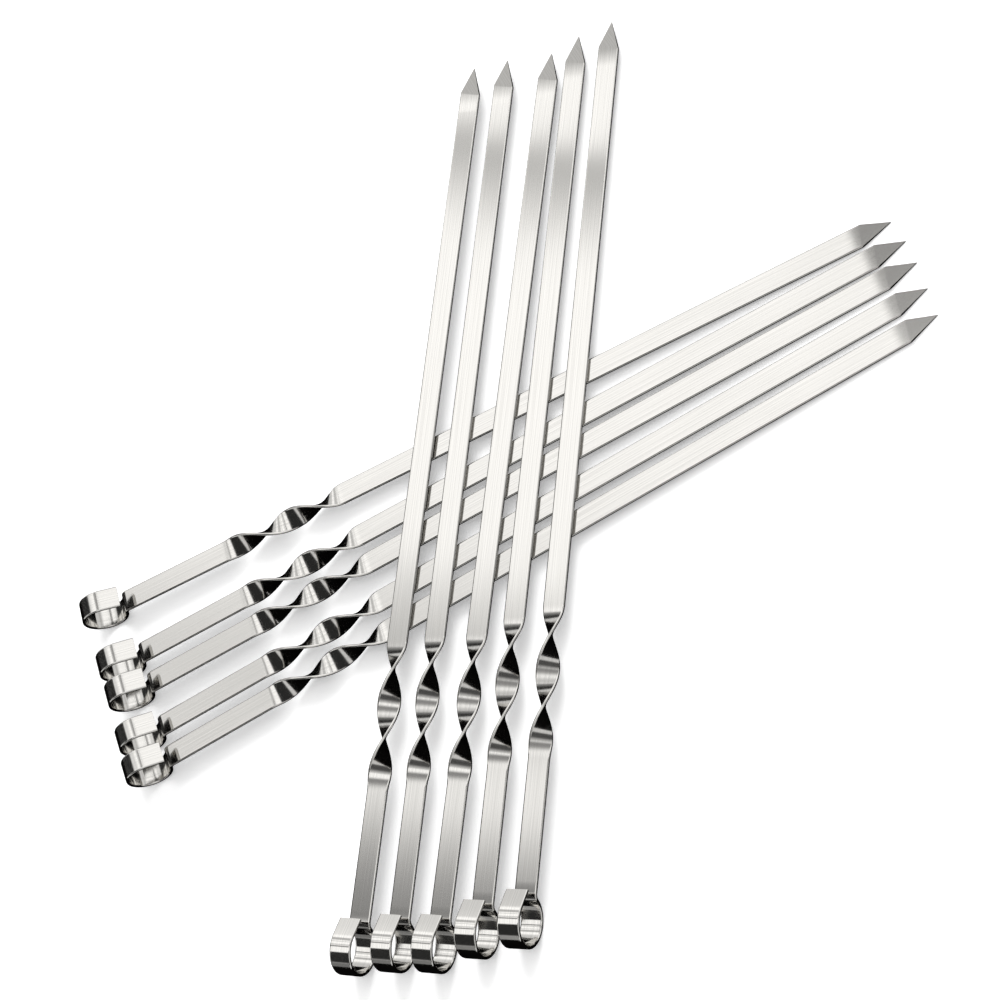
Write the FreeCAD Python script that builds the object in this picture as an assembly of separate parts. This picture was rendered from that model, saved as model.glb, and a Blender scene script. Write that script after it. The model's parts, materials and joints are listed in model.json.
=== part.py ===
"""A set of ten flat kebab skewers, laid out as two crossing fans of five.

Each skewer is one length of flat stainless strip. One end is curled up and back over the
handle into an eye, the middle has one full right-handed twist, and the other end is ground
to a point. All lengths are in millimetres. +Z is up, and the origin is on the surface that
the set lies on, below the middle of the set.
"""

import FreeCAD, Part
import math
import os

Vector = FreeCAD.Vector

# The strip that every skewer is made from
STRIP_WIDTH = 10.0
STRIP_THICKNESS = 1.5

# Along a skewer: the handle from the middle of its eye, the twist, and the blade to its end
HANDLE_LENGTH = 65.5
TWIST_LENGTH = 65.0
BLADE_LENGTH = 265.5
POINT_LENGTH = 13.5

# The eye: its bore, the height of its middle over the handle, the neck bent down to it with
# its bending radius and its slope in degrees, and the free end over the handle
EYE_BORE_RADIUS = 9.2
EYE_OVER_HANDLE = 2.3
NECK_RADIUS = 3.0
NECK_SLOPE = 63.0
FREE_END_LENGTH = 8.0
FREE_END_ANGLE = 62.0

# The twist: its turns, the share of its length in which it starts or dies out, and the
# number of cross-sections that it is drawn through
TWIST_TURNS = 1.0
TWIST_EASE_SHARE = 0.08
TWIST_STATIONS = 24

# The point: its thickness at the end, and how much further back its right side starts
POINT_THICKNESS = 0.5
POINT_SKEW = 2.0

# The layout. The middle lines of the two fans cross on their blades, this far past the twists.
UPPER_HEADING = 27.5
LOWER_HEADING = -35.5
UPPER_BLADE_BEFORE_CROSSING = 57.0
LOWER_BLADE_BEFORE_CROSSING = 63.0

# The upper skewers lie this far over the lower ones, looked for at so many places each way
# over every crossing
LAY_CLEARANCE = 0.1
CROSSING_STATIONS = 41

# Places of the eyes and points beside their fan's middle line, as shares of the strip's
# width, and how far each skewer is pushed forward, as shares of its reach
UPPER_EYE_SHARES = (3.8, 1.9, 0.0, -1.9, -3.8)
UPPER_POINT_SHARES = (3.4, 1.8, -0.4, -1.65, -3.2)
UPPER_LEAD_SHARES = (-0.0165, -0.010, -0.0075, 0.010, 0.023)
LOWER_EYE_SHARES = (4.35, 1.55, 0.0, -2.2, -3.7)
LOWER_POINT_SHARES = (2.3, 1.2, 0.1, -1.15, -2.4)
LOWER_LEAD_SHARES = (-0.004, 0.0, 0.001, 0.0, -0.002)

HALF_WIDTH = STRIP_WIDTH / 2
HALF_THICKNESS = STRIP_THICKNESS / 2
EYE_MIDDLE_RADIUS = EYE_BORE_RADIUS + HALF_THICKNESS
EYE_OUTER_RADIUS = EYE_BORE_RADIUS + STRIP_THICKNESS
TWIST_START = HANDLE_LENGTH
TWIST_END = TWIST_START + TWIST_LENGTH
SKEWER_REACH = TWIST_END + BLADE_LENGTH


def on_circle(centre, radius, angle):
    """A point of a circle in the side view, at an angle from +X towards +Z."""
    return centre + Vector(radius * math.cos(angle), 0, radius * math.sin(angle))


def arc(centre, radius, start, end):
    """An arc in the side view, from one angle to the other through their middle."""
    angles = (start, (start + end) / 2, end)
    return Part.Arc(*[on_circle(centre, radius, angle) for angle in angles]).toShape()


def line(start, end):
    return Part.LineSegment(start, end).toShape()


def eye_and_handle():
    """The curled eye and the flat handle, as one side profile drawn across the strip.

    The middle of the eye is at the origin. The handle runs along +X, a little below it. Its
    neck bends down, and the strip then slopes on until it meets the eye, goes under, round
    the back and over the top.
    """
    middle = Vector(0, 0, 0)
    slope = math.radians(NECK_SLOPE)
    free_angle = math.radians(FREE_END_ANGLE)
    reach = EYE_MIDDLE_RADIUS + NECK_RADIUS
    drop = EYE_OVER_HANDLE + NECK_RADIUS
    sloping_length = (reach * math.cos(slope) - drop) / math.sin(slope)
    neck_x = reach * math.sin(slope) + sloping_length * math.cos(slope)
    neck_centre = Vector(neck_x, 0, -drop)
    along_free_end = Vector(math.sin(free_angle), 0, -math.cos(free_angle)) * FREE_END_LENGTH

    def face_edges(side):
        """The edges of one face of the strip: side is 1 outside the eye and -1 inside."""
        eye_radius = EYE_MIDDLE_RADIUS + side * HALF_THICKNESS
        neck_radius = NECK_RADIUS - side * HALF_THICKNESS
        height = -EYE_OVER_HANDLE - side * HALF_THICKNESS
        handle_end = Vector(TWIST_START, 0, height)
        neck_start = Vector(neck_centre.x, 0, height)
        curl_end = on_circle(middle, eye_radius, free_angle)
        edges = [
            line(handle_end, neck_start),
            arc(neck_centre, neck_radius, math.pi / 2, math.pi / 2 + slope),
            line(on_circle(neck_centre, neck_radius, math.pi / 2 + slope),
                 on_circle(middle, eye_radius, 3 * math.pi / 2 + slope)),
            arc(middle, eye_radius, 3 * math.pi / 2 + slope, free_angle),
            line(curl_end, curl_end + along_free_end),
        ]
        return edges, handle_end, curl_end + along_free_end

    outside, outside_handle, outside_tip = face_edges(1)
    inside, inside_handle, inside_tip = face_edges(-1)
    ends = [line(outside_tip, inside_tip), line(inside_handle, outside_handle)]
    ordered = Part.sortEdges(outside + inside + ends)[0]
    profile = Part.Face(Part.Wire(ordered))
    profile.translate(Vector(0, -HALF_WIDTH, 0))
    return profile.extrude(Vector(0, STRIP_WIDTH, 0))


def twist_angle(x):
    """How far the strip has turned at x, in radians. It eases in and out of the twist."""
    share = min(max((x - TWIST_START) / TWIST_LENGTH, 0.0), 1.0)
    ease = TWIST_EASE_SHARE
    if share < ease:
        turned = share ** 2 / (2 * ease)
    elif share > 1 - ease:
        turned = 1 - ease - (1 - share) ** 2 / (2 * ease)
    else:
        turned = share - ease / 2
    return 2 * math.pi * TWIST_TURNS * turned / (1 - ease)


def cross_section(x):
    """The strip's rectangle at x, turned about the middle line of the blade."""
    angle = twist_angle(x)
    across = Vector(0, math.cos(angle), math.sin(angle)) * HALF_WIDTH
    through = Vector(0, -math.sin(angle), math.cos(angle)) * HALF_THICKNESS
    middle = Vector(x, 0, -EYE_OVER_HANDLE)
    corners = [middle + across + through, middle - across + through,
               middle - across - through, middle + across - through]
    return Part.makePolygon(corners + corners[:1])


def twist():
    """The full turn between handle and blade, drawn through turned cross-sections."""
    step = TWIST_LENGTH / TWIST_STATIONS
    stations = [TWIST_START + step * index for index in range(TWIST_STATIONS)] + [TWIST_END]
    return Part.makeLoft([cross_section(x) for x in stations], True, False)


def blade_and_point():
    """The flat blade, with its two sides cut to a point and a facet ground on its top."""
    right_shoulder = SKEWER_REACH - POINT_LENGTH - POINT_SKEW / 2
    left_shoulder = SKEWER_REACH - POINT_LENGTH + POINT_SKEW / 2
    bottom = -EYE_OVER_HANDLE - HALF_THICKNESS
    top = -EYE_OVER_HANDLE + HALF_THICKNESS
    outline = [Vector(TWIST_END, -HALF_WIDTH, bottom), Vector(right_shoulder, -HALF_WIDTH, bottom),
               Vector(SKEWER_REACH, 0, bottom), Vector(left_shoulder, HALF_WIDTH, bottom),
               Vector(TWIST_END, HALF_WIDTH, bottom)]
    plan = Part.Face(Part.makePolygon(outline + outline[:1]))
    blade = plan.extrude(Vector(0, 0, STRIP_THICKNESS))

    # The facet's plane goes through both shoulders on the top and down to the point
    right = Vector(right_shoulder, -HALF_WIDTH, top)
    left = Vector(left_shoulder, HALF_WIDTH, top)
    point = Vector(SKEWER_REACH, 0, bottom + POINT_THICKNESS)
    normal = (point - right).cross(left - right).normalize()
    facet = Part.makePlane(2 * SKEWER_REACH, 2 * SKEWER_REACH, point, normal)
    facet.translate(point - facet.CenterOfMass)
    ground_off = facet.extrude(normal * SKEWER_REACH)
    return blade.cut(ground_off)


def heights_within(half, slope, offset):
    """The lowest and highest z for which slope * z lies within half of offset."""
    if slope == 0:
        return (-math.inf, math.inf) if abs(offset) <= half else (math.inf, -math.inf)
    return sorted(((offset - half) / slope, (offset + half) / slope))


def underside_and_top(x, y):
    """The strip's underside and top over its middle line, at x along it and y to its left.

    Beside the strip the underside comes out higher than the top.
    """
    angle = twist_angle(x)
    across = heights_within(HALF_WIDTH, math.sin(angle), -y * math.cos(angle))
    through = heights_within(HALF_THICKNESS, math.cos(angle), y * math.sin(angle))
    return max(across[0], through[0]), min(across[1], through[1])


def height_along(pitch, x):
    """The height of the strip's middle at x on a skewer that dips by pitch."""
    return EYE_OUTER_RADIUS - EYE_OVER_HANDLE * math.cos(pitch) - x * math.sin(pitch)


def dip_to_height(x, height):
    """The pitch at which a skewer that lies on its eye has its middle line at a height, at x."""
    slant = math.hypot(x, EYE_OVER_HANDLE)
    return math.asin((EYE_OUTER_RADIUS - height) / slant) - math.atan2(EYE_OVER_HANDLE, x)


def directions(turn):
    """The level directions along a skewer with this heading and to its left."""
    return Vector(math.cos(turn), math.sin(turn), 0), Vector(-math.sin(turn), math.cos(turn), 0)


def fan(heading, blade_before_crossing, eye_shares, point_shares, lead_shares):
    """The eye's place and the heading, in radians, of each skewer of a fan."""
    turn = math.radians(heading)
    forward, left = directions(turn)
    hub = forward * -(TWIST_END + blade_before_crossing)
    places = []
    for eye_share, point_share, lead_share in zip(eye_shares, point_shares, lead_shares):
        beside = eye_share * STRIP_WIDTH
        eye = hub + forward * (lead_share * SKEWER_REACH) + left * beside
        aside = math.asin((point_share * STRIP_WIDTH - beside) / SKEWER_REACH)
        places.append((eye, turn + aside))
    return places


def crossing_points(upper, lower):
    """Places over the crossing of two skewers, each as x and y on the upper and on the lower."""
    (upper_eye, upper_turn), (lower_eye, lower_turn) = upper, lower
    upper_along, upper_left = directions(upper_turn)
    lower_along, lower_left = directions(lower_turn)
    angle = upper_turn - lower_turn
    middle = (upper_eye - lower_eye).dot(upper_left) / lower_along.dot(upper_left)
    half_length = HALF_WIDTH * (1 + abs(math.cos(angle))) / abs(math.sin(angle))
    for row in range(CROSSING_STATIONS):
        x = middle + half_length * (2 * row / (CROSSING_STATIONS - 1) - 1)
        for column in range(CROSSING_STATIONS):
            y = HALF_WIDTH * (2 * column / (CROSSING_STATIONS - 1) - 1)
            place = lower_eye + lower_along * x + lower_left * y - upper_eye
            yield (place.dot(upper_along), place.dot(upper_left)), (x, y)


def dip_over(upper, lowers, lower_dip):
    """The steepest dip of an upper skewer that still clears every lower one it crosses."""
    dips = [lower_dip]
    for lower in lowers:
        for on_upper, on_lower in crossing_points(upper, lower):
            underside, top = underside_and_top(*on_lower)
            upper_underside, upper_top = underside_and_top(*on_upper)
            if underside > top or upper_underside > upper_top:
                continue
            support = height_along(lower_dip, on_lower[0]) + top + LAY_CLEARANCE
            dips.append(dip_to_height(on_upper[0], support - upper_underside))
    return min(dips)


def lay(skewer, place, pitch):
    """A skewer that lies on its eye at its place, turned to its heading and dipped."""
    eye, turn = place
    laid = skewer.copy()
    laid.rotate(Vector(0, 0, 0), Vector(0, 1, 0), math.degrees(pitch))
    laid.rotate(Vector(0, 0, 0), Vector(0, 0, 1), math.degrees(turn))
    laid.translate(eye + Vector(0, 0, EYE_OUTER_RADIUS))
    return laid


def build():
    """All ten skewers by name, and each one's eye, heading and dip, about the set's middle."""
    skewer = eye_and_handle().fuse([twist(), blade_and_point()]).removeSplitter().Solids[0]

    # The middle lines of the two fans cross at the origin
    uppers = fan(UPPER_HEADING, UPPER_BLADE_BEFORE_CROSSING, UPPER_EYE_SHARES,
                 UPPER_POINT_SHARES, UPPER_LEAD_SHARES)
    lowers = fan(LOWER_HEADING, LOWER_BLADE_BEFORE_CROSSING, LOWER_EYE_SHARES,
                 LOWER_POINT_SHARES, LOWER_LEAD_SHARES)

    # A lower skewer lies on its eye and on the underside of its point
    lower_dip = dip_to_height(SKEWER_REACH, HALF_THICKNESS)
    laid = {}
    for number, place in enumerate(lowers, 1):
        laid["lower_skewer_%d" % number] = (place, lower_dip)
    for number, place in enumerate(uppers, 1):
        laid["upper_skewer_%d" % number] = (place, dip_over(place, lowers, lower_dip))

    shapes = {name: lay(skewer, place, pitch) for name, (place, pitch) in laid.items()}
    box = Part.Compound(list(shapes.values())).optimalBoundingBox(False, False)
    shift = Vector(-(box.XMin + box.XMax) / 2, -(box.YMin + box.YMax) / 2, -box.ZMin)
    poses = {}
    for name, (place, pitch) in laid.items():
        shapes[name].translate(shift)
        poses[name] = (place[0] + shift + Vector(0, 0, EYE_OUTER_RADIUS), place[1], pitch)
    return shapes, poses


shapes, poses = build()
os.makedirs("parts", exist_ok=True)
for name, shape in shapes.items():
    shape.exportStep("parts/%s.step" % name)
    eye, turn, pitch = poses[name]
    print("%s: eye %.1f %.1f %.2f, heading %.2f, dip %.2f, volume %.0f, valid %s" % (
        name, eye.x, eye.y, eye.z, math.degrees(turn), math.degrees(pitch),
        shape.Volume, shape.isValid()))
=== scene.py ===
# %% [markdown]
# # A set of ten kebab skewers
# Each skewer is one length of flat stainless strip. One end is curled into an open eye, the
# middle has one full twist, and the other end is ground to a point. Ten of them lie in two
# crossing fans on a white table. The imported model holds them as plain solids.

import json
import math

import bmesh
import bpy
from mathutils import Matrix, Vector


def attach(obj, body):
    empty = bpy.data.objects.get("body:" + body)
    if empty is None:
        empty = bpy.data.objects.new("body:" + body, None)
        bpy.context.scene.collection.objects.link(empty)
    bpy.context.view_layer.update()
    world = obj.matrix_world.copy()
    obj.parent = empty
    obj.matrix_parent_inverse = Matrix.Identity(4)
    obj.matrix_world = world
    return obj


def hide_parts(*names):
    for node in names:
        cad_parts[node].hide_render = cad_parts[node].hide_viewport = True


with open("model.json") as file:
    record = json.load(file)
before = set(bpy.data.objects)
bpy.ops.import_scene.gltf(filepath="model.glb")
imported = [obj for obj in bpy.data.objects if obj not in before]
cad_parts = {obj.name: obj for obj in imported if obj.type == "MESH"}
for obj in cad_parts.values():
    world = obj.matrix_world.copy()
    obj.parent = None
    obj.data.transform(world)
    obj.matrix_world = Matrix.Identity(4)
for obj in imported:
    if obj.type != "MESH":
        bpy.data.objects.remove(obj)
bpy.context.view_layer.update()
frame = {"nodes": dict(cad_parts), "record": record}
record = frame["record"]
print("nodes:", ", ".join(sorted(frame["nodes"])))

# %% [markdown]
# ## Where each skewer lies
# The record has two mounts on every skewer: the bore of its eye and the end of its point.
# The eye's axis runs to the skewer's left, and the point's axis runs along the blade. Those
# two directions and the middle of the eye are all it takes to place a skewer, so the scene
# reads them and holds no table of places of its own.

# %% A matrix for each skewer
MM = 0.001
mounts = {mount["name"]: mount for mount in record["mounts"]}


def place_of(node):
    """The matrix that takes a skewer drawn in millimetres along +X to its place."""
    along = Vector(mounts[node + "_point"]["axis"]).normalized()
    left = Vector(mounts[node + "_eye"]["axis"])
    left = (left - along * left.dot(along)).normalized()
    facing = Matrix((along, left, along.cross(left))).transposed().to_4x4()
    return Matrix.Translation(mounts[node + "_eye"]["pos_m"]) @ facing @ Matrix.Scale(MM, 4)


places = {node: place_of(node) for node in sorted(frame["nodes"])}
for node, place in places.items():
    print(node, "eye at", [round(x / MM, 1) for x in place.translation])

# %% [markdown]
# ## The strip
# The real skewer starts as flat strip that comes off a roll with its edges rounded, and that
# rounding is what draws a fine dark line along both sides of every blade. The rounding could
# come from a bevel over the finished mesh, but here it is part of the section, so that it
# stays the same through bends and twist. The sizes are in millimetres. The bore and the width
# come from the record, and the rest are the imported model's own.

# %% Sizes of the strip, the eye, the twist and the point
STRIP_WIDTH = mounts["upper_skewer_1_eye"]["dims"]["length_mm"]
STRIP_THICKNESS = 1.5
EDGE_ROUNDING = 0.65
EDGE_STEPS = 4

EYE_BORE_RADIUS = mounts["upper_skewer_1_eye"]["dims"]["r_mm"]
# From the middle of the eye down to the middle of the handle's thickness.
EYE_OVER_HANDLE = 2.3
NECK_RADIUS = 3.0
NECK_SLOPE = math.radians(63.0)
# The free end slopes down from the top of the eye and stops over the handle.
FREE_END_LENGTH = 8.0
FREE_END_ANGLE = math.radians(62.0)

HANDLE_LENGTH = 65.5
TWIST_LENGTH = 65.0
BLADE_LENGTH = 265.5
# How much of the twist's length it takes to start turning, and as much again to stop.
TWIST_EASE_SHARE = 0.08

POINT_LENGTH = 13.5
# What the ground facet leaves at the very tip.
POINT_THICKNESS = 0.5
# How much longer the point's right side is than its left.
POINT_SKEW = 2.0

EYE_MIDDLE_RADIUS = EYE_BORE_RADIUS + STRIP_THICKNESS / 2
TWIST_END = HANDLE_LENGTH + TWIST_LENGTH
SKEWER_REACH = TWIST_END + BLADE_LENGTH
print("one skewer is %.1f mm long over all" % (SKEWER_REACH + EYE_BORE_RADIUS + STRIP_THICKNESS))

# %% [markdown]
# ## The strip's section
# Cut across, the real strip is a thin rectangle with rounded corners. A rectangle whose four
# corners are bevelled as vertices gives just that, as a single face. Each of its vertices
# notes how far round the section it lies, which the brushed finish needs later.

# %% The section


def strip_section(bm):
    """The strip's section as one face: thickness along X, width along Y, facing +Z."""
    bmesh.ops.create_grid(bm, x_segments=1, y_segments=1, size=0.5)
    bmesh.ops.scale(bm, verts=bm.verts, vec=(STRIP_THICKNESS, STRIP_WIDTH, 1))
    bmesh.ops.bevel(bm, geom=bm.verts[:], affect="VERTICES", offset=EDGE_ROUNDING,
                    segments=EDGE_STEPS, profile=0.5, material=-1)
    face = bm.faces[:][0]
    around = bm.verts.layers.float["around"]
    walked = 0.0
    for loop in face.loops:
        loop.vert[around] = walked
        walked += loop.edge.calc_length()
    return face, walked


def new_strip():
    """A mesh that holds the strip's section alone, that face, and the length round it."""
    bm = bmesh.new()
    bm.verts.layers.float.new("along")
    bm.verts.layers.float.new("around")
    return bm, *strip_section(bm)


trial, section, section_perimeter = new_strip()
print("the section has", len(section.verts), "corners, %.1f mm round" % section_perimeter)
trial.free()

# %% [markdown]
# ## One move makes the whole strip
# A strip like this could be a curve with a bevel object, but a curve gives no say over where
# its twist starts. Here the section is extruded again and again, and the new end is carried
# on by a matrix each time. A straight stretch carries it forward, a bend turns it about the
# bend's centre, and the twist turns it about its own middle line as it goes. Each new ring of
# vertices also notes how far along the strip it lies.

# %% The move


def carry(bm, face, move, length):
    """Extrudes the end face, carries its new copy on by a matrix, and returns the copy.

    The extrusion leaves the old end face inside the strip, so it is taken out, except the
    very first one, which closes the strip's start.
    """
    along = bm.verts.layers.float["along"]
    start = face.verts[0][along]
    made = bmesh.ops.extrude_face_region(bm, geom=[face])["geom"]
    end = next(item for item in made if isinstance(item, bmesh.types.BMFace))
    bmesh.ops.transform(bm, matrix=move, verts=end.verts)
    for vert in end.verts:
        vert[along] = start + length
    if len(face.edges[0].link_faces) > 2:
        bmesh.ops.delete(bm, geom=[face], context="FACES_ONLY")
    return end


def bend(bm, face, centre, angle, radius, steps):
    """Carries the end face round a bend in the side view. A plus angle turns +X to +Z."""
    turn = Matrix.Rotation(-angle / steps, 4, "Y")
    move = Matrix.Translation(centre) @ turn @ Matrix.Translation(-centre)
    for _ in range(steps):
        face = carry(bm, face, move, abs(angle) / steps * radius)
    return face


def run_on(bm, face, direction, length, steps):
    """Carries the end face straight on."""
    move = Matrix.Translation(direction * (length / steps))
    for _ in range(steps):
        face = carry(bm, face, move, length / steps)
    return face


trial, section, _ = new_strip()
run_on(trial, section, Vector((0, 0, 1)), BLADE_LENGTH, 1)
print("a straight stretch in one step has", len(trial.faces), "faces")
trial.free()

# %% [markdown]
# ## The twist
# A smith clamps the handle, grips the blade and gives it one full turn. So the strip starts
# to turn gently at one clamp, turns evenly in between, and dies out at the other. A Simple
# Deform modifier could twist a straight strip, but it would start and stop with a jerk. The
# function below says how far the strip has turned at each share of the twist's length.

# %% How far the strip has turned


def turned(share):
    """The strip's turn in radians, at a share of the twist's length."""
    ease = TWIST_EASE_SHARE
    if share < ease:
        done = share ** 2 / (2 * ease)
    elif share > 1 - ease:
        done = 1 - ease - (1 - share) ** 2 / (2 * ease)
    else:
        done = share - ease / 2
    return 2 * math.pi * done / (1 - ease)


def twist_on(bm, face, steps):
    """Carries the end face through the twist, about the blade's middle line."""
    middle = Vector((0, 0, -EYE_OVER_HANDLE))
    step_length = TWIST_LENGTH / steps
    for step in range(steps):
        angle = turned((step + 1) / steps) - turned(step / steps)
        move = (Matrix.Translation(middle + Vector((step_length, 0, 0)))
                @ Matrix.Rotation(angle, 4, "X") @ Matrix.Translation(-middle))
        face = carry(bm, face, move, step_length)
    return face


for part_way in (TWIST_EASE_SHARE, 0.5, 1.0):
    print("turned at %.2f of the twist: %.0f degrees" % (part_way, math.degrees(turned(part_way))))

# %% [markdown]
# ## The point
# The end of the blade is cut to a point by two slanting cuts, and then one facet is ground
# across its top. Both are plane cuts on the real blade, so here they are plane cuts too:
# bisect_plane takes the waste away, and the open cut is filled with one face. A boolean with
# a wedge would do the same with more to go wrong. The cuts stay sharp, as ground edges are.

# %% Cutting planes
SAME_PLACE = 1e-5


def cut(bm, place, normal):
    """Takes away what lies beyond a plane and closes the cut with one face."""
    geom = bm.verts[:] + bm.edges[:] + bm.faces[:]
    made = bmesh.ops.bisect_plane(bm, geom=geom, dist=SAME_PLACE, plane_co=place,
                                  plane_no=normal, clear_outer=True)["geom_cut"]
    edges = [item for item in made if isinstance(item, bmesh.types.BMEdge)]
    bmesh.ops.contextual_create(bm, geom=edges)


def cut_point(bm):
    """Cuts the two sides of the point and grinds the facet on its top."""
    bottom = -EYE_OVER_HANDLE - STRIP_THICKNESS / 2
    top = -EYE_OVER_HANDLE + STRIP_THICKNESS / 2
    right_length = POINT_LENGTH + POINT_SKEW / 2
    left_length = POINT_LENGTH - POINT_SKEW / 2
    for side, length in ((-1, right_length), (1, left_length)):
        cut(bm, Vector((SKEWER_REACH, 0, 0)),
            Vector((STRIP_WIDTH / 2, side * length, 0)).normalized())
    right = Vector((SKEWER_REACH - right_length, -STRIP_WIDTH / 2, top))
    left = Vector((SKEWER_REACH - left_length, STRIP_WIDTH / 2, top))
    end = Vector((SKEWER_REACH, 0, bottom + POINT_THICKNESS))
    cut(bm, end, (end - right).cross(left - right).normalized())


print("the facet falls %.1f mm over %.1f mm" % (STRIP_THICKNESS - POINT_THICKNESS, POINT_LENGTH))

# %% [markdown]
# ## Where the grain runs
# Brushing leaves its scratches along the strip, round the eye and through the twist too. The
# finish has to follow, so the mesh gets a UV map of its own: U runs round the section and V
# runs along the strip, both in millimetres. Unwrapping by an operator would not know which
# way the belt ran, and the two numbers are already on every vertex.

# %% The grain's own UV map


def lay_out_grain(bm, perimeter):
    """Gives every corner its place round and along the strip, in millimetres."""
    along = bm.verts.layers.float["along"]
    around = bm.verts.layers.float["around"]
    grain = bm.loops.layers.uv.new("grain")
    for face in bm.faces:
        distances = [loop.vert[around] for loop in face.loops]
        crosses_seam = max(distances) - min(distances) > perimeter / 2
        for loop, distance in zip(face.loops, distances):
            if crosses_seam and distance < perimeter / 2:
                distance += perimeter
            loop[grain].uv = (distance, loop.vert[along])


print("the grain map goes %.1f mm round the strip" % section_perimeter)

# %% [markdown]
# ## Which edges are sharp
# A real flat mirrors in straight lines right up to where its corner starts to round. If the
# shading ran on from the flat into the corner, the flat would look slightly domed. So the
# edges between flats and corners are marked sharp, and so are the edges of the ground point.
# Shade Auto Smooth goes by angle alone and would take the rounded corners for smooth.

# %% Sharp edges
CORNER_FACE_WIDTH = EDGE_ROUNDING * math.pi / 2 / EDGE_STEPS
# Wider faces are flats. The strip's narrow sides are not, so they shade with the corners.
WIDEST_IN_CORNER = 1.2 * CORNER_FACE_WIDTH
SHARP_ANGLE = math.radians(28.0)


def is_flat(bm, face):
    """Whether a face belongs to one of the strip's flats and not to a rounded corner."""
    around = bm.verts.layers.float["around"]
    distances = [vert[around] for vert in face.verts]
    return max(distances) - min(distances) > WIDEST_IN_CORNER


def mark_edges(bm):
    """Smooths every face, up to the edges that are sharp on the real strip."""
    flat = {face for face in bm.faces if is_flat(bm, face)}
    for edge in bm.edges:
        same_kind = len({face in flat for face in edge.link_faces}) == 1
        edge.smooth = same_kind and edge.calc_face_angle() < SHARP_ANGLE
    for face in bm.faces:
        face.smooth = True


print("a face of a rounded corner is %.2f mm wide" % CORNER_FACE_WIDTH)

# %% [markdown]
# ## The neck of the eye
# The strip leaves the eye on a slope and bends back into the level handle at a small neck.
# The neck's centre lies where its arc meets both the slope and the handle, so it is worked
# out here and not typed.

# %% The neck
NECK_REACH = EYE_MIDDLE_RADIUS + NECK_RADIUS
NECK_DROP = EYE_OVER_HANDLE + NECK_RADIUS
SLOPE_LENGTH = (NECK_REACH * math.cos(NECK_SLOPE) - NECK_DROP) / math.sin(NECK_SLOPE)
up_the_slope = Vector((math.cos(NECK_SLOPE), 0, math.sin(NECK_SLOPE)))
neck_x = NECK_REACH * math.sin(NECK_SLOPE) + SLOPE_LENGTH * math.cos(NECK_SLOPE)
neck_centre = Vector((neck_x, 0, -NECK_DROP))
print("the neck bends %.1f mm from the eye's middle" % neck_x)

# %% [markdown]
# ## One skewer from end to end
# The strip is followed from its free end, which stands over the handle: down the free end,
# back round the eye, over the neck, along the handle, through the twist and down the blade.
# The steps are many where the strip turns and few where it runs straight.

# %% The skewer's mesh
EYE_STEPS = 96
NECK_STEPS = 14
TWIST_STEPS = 160
STRAIGHT_STEPS = 12
SHORT_STEPS = 2
FORWARD = Vector((1, 0, 0))


def skewer_mesh():
    """One skewer in millimetres, the middle of its eye at the origin, its blade along +X."""
    bm, face, perimeter = new_strip()
    turn = Matrix.Rotation(-FREE_END_ANGLE, 4, "Y")
    along_free_end = turn @ Vector((0, 0, 1))
    to_free_end = Matrix.Translation(-along_free_end * FREE_END_LENGTH)
    start = to_free_end @ turn @ Matrix.Translation((EYE_MIDDLE_RADIUS, 0, 0))
    bmesh.ops.transform(bm, matrix=start, verts=bm.verts)

    face = run_on(bm, face, along_free_end, FREE_END_LENGTH, SHORT_STEPS)
    # From the free end back round to the bottom of the eye, and on to where the slope starts.
    round_eye = 1.5 * math.pi + NECK_SLOPE - FREE_END_ANGLE
    face = bend(bm, face, Vector(), round_eye, EYE_MIDDLE_RADIUS, EYE_STEPS)
    face = run_on(bm, face, up_the_slope, SLOPE_LENGTH, SHORT_STEPS)
    face = bend(bm, face, neck_centre, -NECK_SLOPE, NECK_RADIUS, NECK_STEPS)
    face = run_on(bm, face, FORWARD, HANDLE_LENGTH - neck_centre.x, STRAIGHT_STEPS)
    face = twist_on(bm, face, TWIST_STEPS)
    face = run_on(bm, face, FORWARD, BLADE_LENGTH, STRAIGHT_STEPS)
    cut_point(bm)
    bmesh.ops.recalc_face_normals(bm, faces=bm.faces)
    mark_edges(bm)
    lay_out_grain(bm, perimeter)
    mesh = bpy.data.meshes.new("skewer")
    bm.to_mesh(mesh)
    bm.free()
    return mesh


base = skewer_mesh()
print("one skewer:", len(base.vertices), "vertices,", len(base.polygons), "faces")

# %% [markdown]
# ## Stainless steel, brushed lengthwise
# The strip is rolled stainless steel that was run through a belt grinder along its length.
# Two small helpers come first: one takes a colour as it is read off a picture, in sRGB, to
# the linear values that a shader works in, and one adds a node and fills its sockets, so that
# each material reads as a short list.

# %% Colours and the one node helper


def srgb(code):
    """A colour written as sRGB hex, as the linear values that a shader takes."""
    values = [int(code[i:i + 2], 16) / 255 for i in (1, 3, 5)]
    linear = [v / 12.92 if v <= 0.04045 else ((v + 0.055) / 1.055) ** 2.4 for v in values]
    return (*linear, 1)


def add_node(tree, kind, settings=None, **inputs):
    """Adds a node, gives it its settings, and fills or links its inputs by name."""
    node = tree.nodes.new(kind)
    for name, value in (settings or {}).items():
        setattr(node, name, value)
    for name, value in inputs.items():
        socket = node.inputs[name.replace("_", " ")]
        if isinstance(value, bpy.types.NodeSocket):
            tree.links.new(value, socket)
        else:
            socket.default_value = value
    return node


def new_material(name):
    """A material with an empty node tree."""
    material = bpy.data.materials.new(name)
    material.use_nodes = True
    material.node_tree.nodes.clear()
    return material


print("middle grey #808080 is %.3f in linear light" % srgb("#808080")[0])

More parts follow.
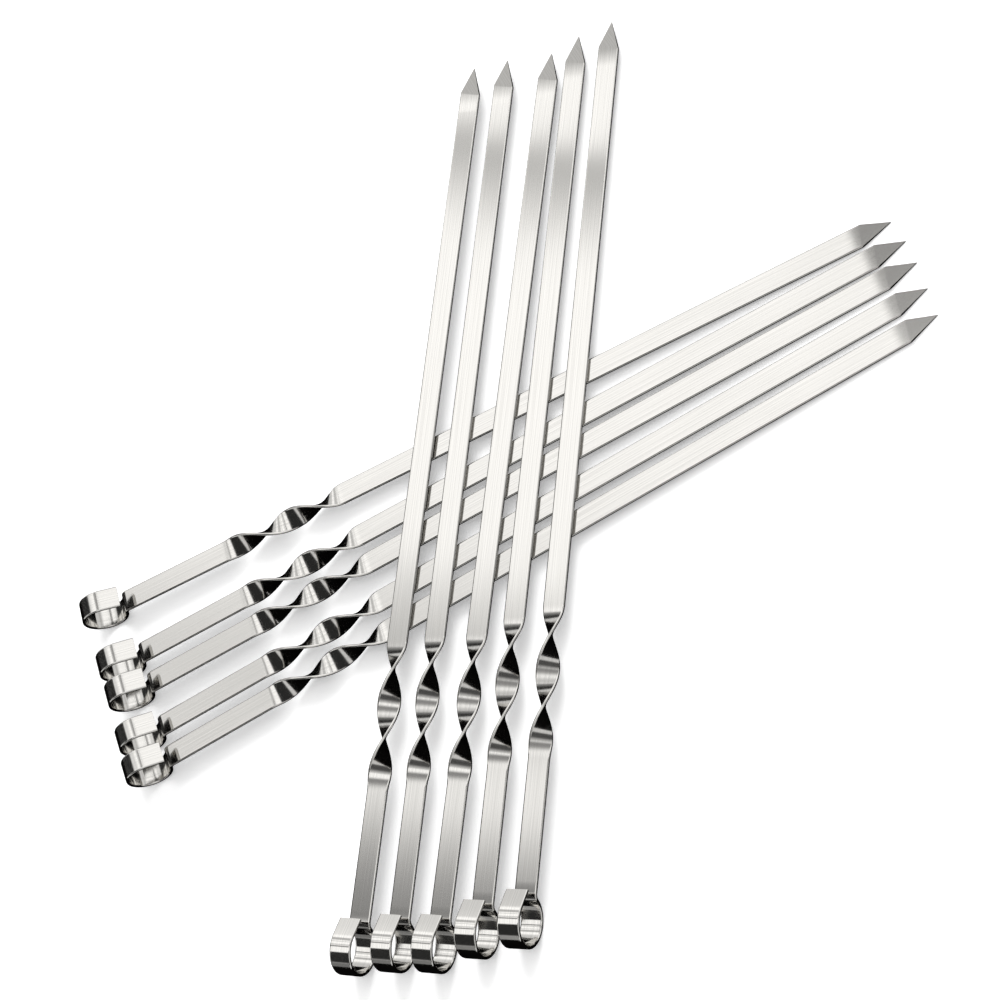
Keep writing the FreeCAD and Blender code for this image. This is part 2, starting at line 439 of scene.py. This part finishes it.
# %% [markdown]
# ## What brushing does to the light
# The scratches are far finer than a pixel, so they are not seen one by one. They smear each
# reflection across the strip, hardly along it, and leave faint streaks that run the strip's
# whole length. A metallic surface with a low roughness and full anisotropy gives the smear,
# and a noise pattern that is stretched along the strip gives the streaks. A bump map would
# be the other way, but at this distance it would only sparkle.

# %% Brushed stainless steel
# A warm light grey, as bare stainless steel is.
STEEL_COLOUR = "#dbd9d5"
# Low, so that the edges of the soft boxes stay sharp along the blades.
STEEL_ROUGHNESS = 0.085
# Full, so that the smear runs across the strip alone.
STEEL_ANISOTROPY = 1.0
# In millimetres. Real scratches are about 0.02 mm wide, far below a pixel, so the streaks are
# drawn coarser, at the width that the eye makes out in a photograph of the whole set.
STREAK_WIDTH = 0.5
STREAK_LENGTH = 60.0
# Finer streaks within the coarse ones.
STREAK_DETAIL = 3.0
# The noise hardly ever leaves this range.
NOISE_LOW, NOISE_HIGH = 0.3, 0.7
# Faint, so that the streaks show only where the light is even.
DARKEST_STREAK = 0.88
STREAK_ROUGHNESS_SWING = 0.2


def brushed_stainless():
    """Stainless strip, belt brushed along its length."""
    material = new_material("brushed_stainless")
    tree = material.node_tree
    grain = add_node(tree, "ShaderNodeUVMap", {"uv_map": "grain"})
    stretched = add_node(tree, "ShaderNodeMapping", Vector=grain.outputs["UV"],
                         Scale=(1 / STREAK_WIDTH, 1 / STREAK_LENGTH, 1))
    streaks = add_node(tree, "ShaderNodeTexNoise", {"noise_dimensions": "2D"},
                       Vector=stretched.outputs["Vector"], Scale=1.0, Detail=STREAK_DETAIL)
    tone = add_node(tree, "ShaderNodeMapRange", Value=streaks.outputs["Fac"],
                    From_Min=NOISE_LOW, From_Max=NOISE_HIGH,
                    To_Min=DARKEST_STREAK, To_Max=1.0)
    colour = add_node(tree, "ShaderNodeVectorMath", {"operation": "SCALE"},
                      Scale=tone.outputs["Result"])
    colour.inputs[0].default_value = srgb(STEEL_COLOUR)[:3]
    rough = add_node(tree, "ShaderNodeMapRange", Value=streaks.outputs["Fac"],
                     From_Min=NOISE_LOW, From_Max=NOISE_HIGH,
                     To_Min=STEEL_ROUGHNESS * (1 + STREAK_ROUGHNESS_SWING),
                     To_Max=STEEL_ROUGHNESS * (1 - STREAK_ROUGHNESS_SWING))
    across = add_node(tree, "ShaderNodeTangent", {"direction_type": "UV_MAP",
                                                  "uv_map": "grain"})
    shader = add_node(tree, "ShaderNodeBsdfPrincipled", Base_Color=colour.outputs["Vector"],
                      Metallic=1.0, Roughness=rough.outputs["Result"],
                      Anisotropic=STEEL_ANISOTROPY, Tangent=across.outputs["Tangent"])
    add_node(tree, "ShaderNodeOutputMaterial", Surface=shader.outputs["BSDF"])
    return material


steel = brushed_stainless()
print(steel.name, "reflects", [round(value, 2) for value in srgb(STEEL_COLOUR)[:3]])

# %% [markdown]
# ## Ten of the same
# The ten skewers are alike, so one mesh is drawn and copied, and each copy is moved by its
# own matrix. Linked copies would save memory, but then the places would have to sit on the
# objects.

# %% Ten skewers
for node, place in places.items():
    mesh = base.copy()
    mesh.name = node + "_strip"
    mesh.transform(place)
    mesh.materials.append(steel)
    piece = bpy.data.objects.new(node + "_strip", mesh)
    bpy.context.scene.collection.objects.link(piece)
    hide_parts(node)
    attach(piece, node)
print(len(places), "skewers,", len(places) * len(base.polygons), "faces in all")

# %% [markdown]
# ## The camera
# The photograph looks down at the table from a long way up, with the picture turned so that
# the blades run upwards. The camera's rise and roll were found from the places of the eyes,
# the twists and the points in the photograph. It aims at a point of the table that lies a
# known way from the middle upper skewer's eye.

# %% The camera's place
CAMERA_RISE = math.radians(57.0)
CAMERA_ROLL = math.radians(-60.0)
CAMERA_DISTANCE = 1023 * MM
# The focal length, counted in the photograph's pixels.
CAMERA_LENS_PIXELS = 2400
PICTURE_PIXELS = 1000
SENSOR_WIDTH = 36.0
NEAREST_SEEN = 0.05
AIM_FROM_EYE = Vector((169.0, 86.8, 0)) * MM

eye = places["upper_skewer_3"].translation
aim = Vector((eye.x, eye.y, 0)) + AIM_FROM_EYE
looking = Vector((0, math.cos(CAMERA_RISE), -math.sin(CAMERA_RISE)))
level_right = Vector((1, 0, 0))
level_up = level_right.cross(looking)
right = level_right * math.cos(CAMERA_ROLL) + level_up * math.sin(CAMERA_ROLL)
up = right.cross(looking)

camera_data = bpy.data.cameras.new("camera")
camera_data.sensor_width = SENSOR_WIDTH
camera_data.lens = SENSOR_WIDTH * CAMERA_LENS_PIXELS / PICTURE_PIXELS
camera_data.clip_start = NEAREST_SEEN
camera = bpy.data.objects.new("camera", camera_data)
turn = Matrix((right, up, -looking)).transposed().to_4x4()
camera.matrix_world = Matrix.Translation(aim - looking * CAMERA_DISTANCE) @ turn
bpy.context.scene.collection.objects.link(camera)
bpy.context.scene.camera = camera
print("camera at", [round(x, 3) for x in camera.matrix_world.translation])

# %% [markdown]
# ## The table and what the metal sees
# The table is plain white paper. It also glows a little for the camera and in reflections,
# so that it shows as white while the lamps stay at a plain level and shadows still fall on
# it. Bright metal has hardly a colour of its own: it shows its surroundings. In the
# photograph the undersides of the twists and the backs of the eyes are nearly black, where
# they ought to mirror the white table. A photographer gets that with black cards, so a black
# card lies on the table here. Only reflections see it.

# %% The white table
# Wide enough that its far edge is never in the picture.
FLOOR_HALF = 20.0
# Lifts the paper to a clean white and leaves soft shadows. The photograph's are darker under
# the lower blades and missing by the lower handles, so this is a middle way.
PAPER_LIFT = 0.34
# The sheets lie a hair under the skewers, so that no faces share a plane.
FLOOR_BELOW = 0.05 * MM
CARD_ABOVE_FLOOR = 0.02 * MM


def flat_sheet(name, half_size, height, material):
    """A square sheet that lies level."""
    bm = bmesh.new()
    bmesh.ops.create_grid(bm, x_segments=1, y_segments=1, size=half_size)
    bmesh.ops.translate(bm, verts=bm.verts, vec=(0, 0, height))
    mesh = bpy.data.meshes.new(name)
    bm.to_mesh(mesh)
    bm.free()
    mesh.materials.append(material)
    sheet = bpy.data.objects.new(name, mesh)
    bpy.context.scene.collection.objects.link(sheet)
    return sheet


def paper(name, code, lift):
    """A matt surface, which also glows by the lift for all but diffuse rays."""
    material = new_material(name)
    tree = material.node_tree
    matt = add_node(tree, "ShaderNodeBsdfDiffuse", Color=srgb(code))
    rays = add_node(tree, "ShaderNodeLightPath").outputs
    seen = add_node(tree, "ShaderNodeMath", {"operation": "ADD"})
    seen_too = add_node(tree, "ShaderNodeMath", {"operation": "ADD"})
    tree.links.new(rays["Is Camera Ray"], seen.inputs[0])
    tree.links.new(rays["Is Glossy Ray"], seen.inputs[1])
    tree.links.new(seen.outputs["Value"], seen_too.inputs[0])
    tree.links.new(rays["Is Transmission Ray"], seen_too.inputs[1])
    strength = add_node(tree, "ShaderNodeMapRange", Value=seen_too.outputs["Value"], To_Max=lift)
    glow = add_node(tree, "ShaderNodeEmission", Color=srgb(code),
                    Strength=strength.outputs["Result"])
    both = add_node(tree, "ShaderNodeAddShader")
    tree.links.new(matt.outputs["BSDF"], both.inputs[0])
    tree.links.new(glow.outputs["Emission"], both.inputs[1])
    add_node(tree, "ShaderNodeOutputMaterial", Surface=both.outputs["Shader"])
    return material


flat_sheet("floor", FLOOR_HALF, -FLOOR_BELOW, paper("white_paper", "#ffffff", PAPER_LIFT))
card = flat_sheet("black_card", FLOOR_HALF, CARD_ABOVE_FLOOR - FLOOR_BELOW,
                  paper("black_velvet", "#0b0a0a", 0.0))
card.visible_camera = False
card.visible_diffuse = False
card.visible_transmission = False
card.visible_shadow = False
print("paper and card are %.0f m wide" % (2 * FLOOR_HALF))

# %% [markdown]
# ## The soft boxes
# Large soft boxes stand round the table and dark gaps lie between them. Level metal mirrors a
# narrow part of that surround, so each blade goes from light to grey and back along its
# length wherever it passes a gap. Real lamps could stand there, but a world that is bright or
# dark by direction gives the same reflections without noise. BOXES is a row of greys by how
# far a direction points towards BOX_HEADING, from -1 behind to 1 ahead. PATCHES then lays
# dark cards and lighter boxes over it, each within limits ahead, to the left and in height.
# The patch called horizon is a band of middle grey all round the table. Level metal mirrors
# it when it is seen from low down, so that the steel looks like steel from every side and
# not only from the photograph's.

# %% Soft boxes and gaps
# Makes steel that mirrors a full box nearly white, as it is in the photograph.
DOME_STRENGTH = 1.45
# The way that the middle upper skewer points, and the way that the row of boxes runs.
UPPER_HEADING = math.radians(27.5)
BOX_HEADING = math.radians(36.0)
# Each mark: how far ahead the direction points, and the grey there.
BOXES = (
    (-0.260, 0.45), (-0.176, 0.95), (0.111, 0.95), (0.140, 0.20),
    (0.170, 0.24), (0.185, 0.34), (0.200, 0.55), (0.215, 0.85),
    (0.234, 0.85), (0.254, 0.60), (0.274, 0.50), (0.294, 0.70),
    (0.313, 0.98), (0.434, 1.00), (0.461, 0.48), (0.470, 0.38),
    (0.473, 1.00), (0.506, 1.00), (0.526, 0.80), (0.566, 0.46),
    (0.645, 0.46), (0.684, 1.00), (0.763, 1.00), (0.843, 0.60),
)
# A limit beyond 1 or -1 is no limit, since no direction points further than that.
ALL = (-2.0, 2.0)
LOW = (-2.0, 0.31)
# Each patch: what it is, its limits ahead, to the left and in height, how soft its edges
# are, and its grey. A later patch covers an earlier one.
PATCHES = (
    ("behind the lower points", (0.383, 0.566), (0.06, 0.27), ALL, 0.02, 0.22),
    ("box at the far right", (0.477, 2.0), (-0.60, 0.02), ALL, 0.03, 0.95),
    ("camera side, dim", ALL, (-2.0, -0.50), ALL, 0.06, 0.42),
    ("camera side, dark", (-0.10, 0.36), (-2.0, -0.66), ALL, 0.10, 0.06),
    ("behind the upper eyes", (-2.0, -0.21), (-0.12, 0.70), ALL, 0.03, 0.02),
    ("far left, dim", (-0.02, 0.45), (0.67, 2.0), ALL, 0.04, 0.20),
    ("far left, dark", (-0.02, 0.45), (0.79, 2.0), ALL, 0.07, 0.02),
    ("horizon", ALL, ALL, LOW, 0.04, 0.55),
    ("horizon behind the upper eyes", (-2.0, -0.50), (0.43, 0.70), LOW, 0.08, 0.14),
    ("behind the lower eyes", (-0.02, 0.27), (0.69, 2.0), ALL, 0.03, 0.02),
)
print(len(BOXES), "marks on the ramp,", len(PATCHES), "patches over it")

# %% [markdown]
# ## Masks by direction
# The world's Generated coordinate is the direction that a ray looks in. Its dot product with
# a heading says how far the ray points that way, and a Map Range with a smooth step turns
# that into a mask with a soft edge. A patch has up to six edges. Each mask is multiplied by
# the one before it by taking that one as its upper value, which saves a node for each.

# %% Masks


def heading(angle):
    """The level direction at an angle from the frame's X."""
    return (math.cos(angle), math.sin(angle), 0.0)


def how_far(tree, direction, towards):
    """How far a ray's direction points towards another one, from -1 to 1."""
    dot = add_node(tree, "ShaderNodeVectorMath", {"operation": "DOT_PRODUCT"})
    tree.links.new(direction, dot.inputs[0])
    dot.inputs[1].default_value = towards
    return dot.outputs["Value"]


def within(tree, value, limits, softness, so_far):
    """A soft mask that is so_far where the value lies within the limits, and 0 outside."""
    low, high = limits
    for edge, away in ((low, softness), (high, -softness)):
        if abs(edge) <= 1:
            gate = add_node(tree, "ShaderNodeMapRange",
                            {"interpolation_type": "SMOOTHSTEP"}, Value=value,
                            From_Min=edge - away, From_Max=edge + away, To_Max=so_far)
            so_far = gate.outputs["Result"]
    return so_far


print("boxes run towards", [round(x, 2) for x in heading(BOX_HEADING)])

# %% [markdown]
# ## The row of boxes
# A colour ramp turns how far ahead a ray looks into the grey of the box or gap that stands
# there. A ramp runs from 0 to 1 and the look ahead from -1 to 1, so both the value and the
# marks are brought to the ramp's range.

# %% The ramp


def row_of_boxes(tree, ahead):
    """The greys of BOXES by how far ahead a ray looks."""
    placed = add_node(tree, "ShaderNodeMapRange", Value=ahead, From_Min=-1.0, From_Max=1.0)
    boxes = add_node(tree, "ShaderNodeValToRGB", Fac=placed.outputs["Result"])
    marks = boxes.color_ramp.elements
    for index, (place, grey) in enumerate(BOXES):
        position = (place + 1) / 2
        # A new ramp has two marks already.
        mark = marks[index] if index < 2 else marks.new(position)
        mark.position = position
        mark.color = (grey, grey, grey, 1)
    return boxes.outputs["Color"]


greys = [grey for place, grey in BOXES]
print("the boxes' greys go from %.2f to %.2f" % (min(greys), max(greys)))

# %% [markdown]
# ## The dome
# The patches are mixed over the row of boxes one by one, and the result is the strength of
# the world's light. An image of a studio would light the scene as well, but nobody could read
# or change it, and here every box is one line.

# %% The dome


def studio_dome():
    """A world whose brightness depends on the direction alone."""
    world = bpy.data.worlds.new("studio_dome")
    world.use_nodes = True
    tree = world.node_tree
    tree.nodes.clear()
    direction = add_node(tree, "ShaderNodeTexCoord").outputs["Generated"]
    ahead = how_far(tree, direction, heading(BOX_HEADING))
    left = how_far(tree, direction, heading(UPPER_HEADING + math.pi / 2))
    height = how_far(tree, direction, (0.0, 0.0, 1.0))
    light = row_of_boxes(tree, ahead)
    for name, ahead_limits, left_limits, height_limits, softness, grey in PATCHES:
        inside = within(tree, height, height_limits, softness, 1.0)
        inside = within(tree, left, left_limits, softness, inside)
        inside = within(tree, ahead, ahead_limits, softness, inside)
        # For plain numbers the Mix node's inputs are 0 factor, 2 A and 3 B.
        laid = add_node(tree, "ShaderNodeMix", {"data_type": "FLOAT", "label": name})
        tree.links.new(inside, laid.inputs[0])
        tree.links.new(light, laid.inputs[2])
        laid.inputs[3].default_value = grey
        light = laid.outputs[0]
    strength = add_node(tree, "ShaderNodeMath", {"operation": "MULTIPLY"})
    tree.links.new(light, strength.inputs[0])
    strength.inputs[1].default_value = DOME_STRENGTH
    sky = add_node(tree, "ShaderNodeBackground", Color=(1, 1, 1, 1),
                   Strength=strength.outputs["Value"])
    add_node(tree, "ShaderNodeOutputWorld", Surface=sky.outputs["Background"])
    return world


bpy.context.scene.world = studio_dome()
bpy.context.scene.view_settings.view_transform = "Standard"
print("the dome has", len(bpy.context.scene.world.node_tree.nodes), "nodes")

# %% [markdown]
# ## The key light
# The dome alone gives hardly any shadow. One wide sun from the far right gives the soft
# shadows beside the skewers. Reflections leave it out, because on metal this smooth it would
# show as a burnt-out spot: the boxes alone draw the highlights, as they do in the photograph.

# %% The key
KEY_AZIMUTH = math.radians(34.0)
KEY_RISE = math.radians(40.0)
# With the dome's share of about 0.74, a level white surface gets a little over 1 in all.
KEY_STRENGTH = 1.7
# As wide as a large soft box close by, so that the shadows have no hard edge.
KEY_SIZE = math.radians(36.0)

key_data = bpy.data.lights.new("key", "SUN")
key_data.energy = KEY_STRENGTH
key_data.angle = KEY_SIZE
key = bpy.data.objects.new("key", key_data)
key.rotation_euler = (math.radians(90.0) - KEY_RISE, 0, KEY_AZIMUTH + math.radians(90.0))
key.visible_glossy = False
bpy.context.scene.collection.objects.link(key)
print("the key light gives a level surface %.2f" % (KEY_STRENGTH * math.sin(KEY_RISE) / math.pi))
